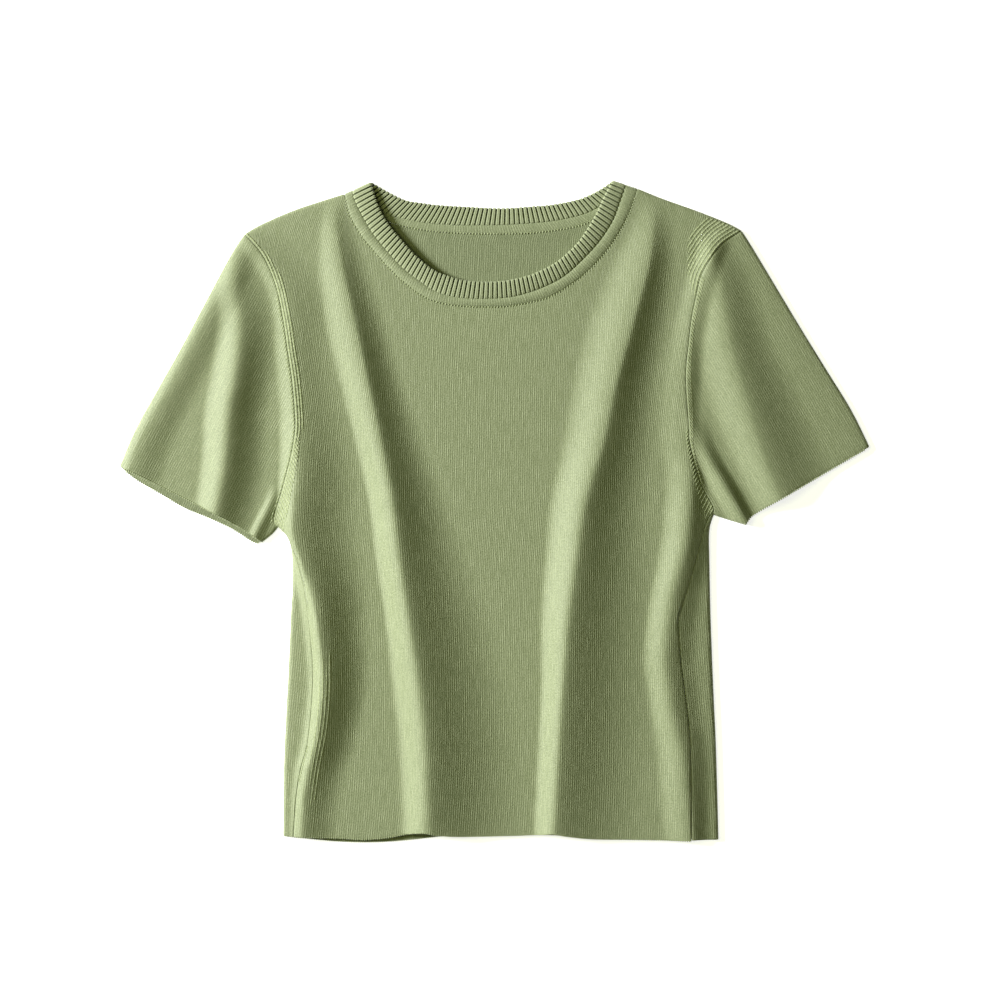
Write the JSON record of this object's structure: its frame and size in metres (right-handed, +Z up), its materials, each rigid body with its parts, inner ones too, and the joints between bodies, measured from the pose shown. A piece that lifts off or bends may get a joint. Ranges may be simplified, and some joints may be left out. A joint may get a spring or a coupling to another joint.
{
  "type": "crop top",
  "caption": "Short-sleeved fine-knit crop top laid flat with its front up: ribbed round collar, plain linking band, set-in sleeves and soft folds down the front.",
  "frame": {"origin": "middle of the garment's outline, on the surface that it lies on", "axes": "+X to the viewer's right (wearer's left), +Y from the hem to the neck, +Z up out of the front"},
  "size_m": [0.5619, 0.4956, 0.0208],
  "materials": {
    "knit": "matt fine-gauge knit",
    "rib": "matt one-by-one rib",
    "band": "matt plain tubular knit"
  },
  "bodies": {
    "root": {"front_panel": "knit", "back_panel": "knit", "sleeve_right": "knit", "sleeve_left": "knit", "neck_rib": "rib", "neck_band": "band"}
  },
  "joints": []
}
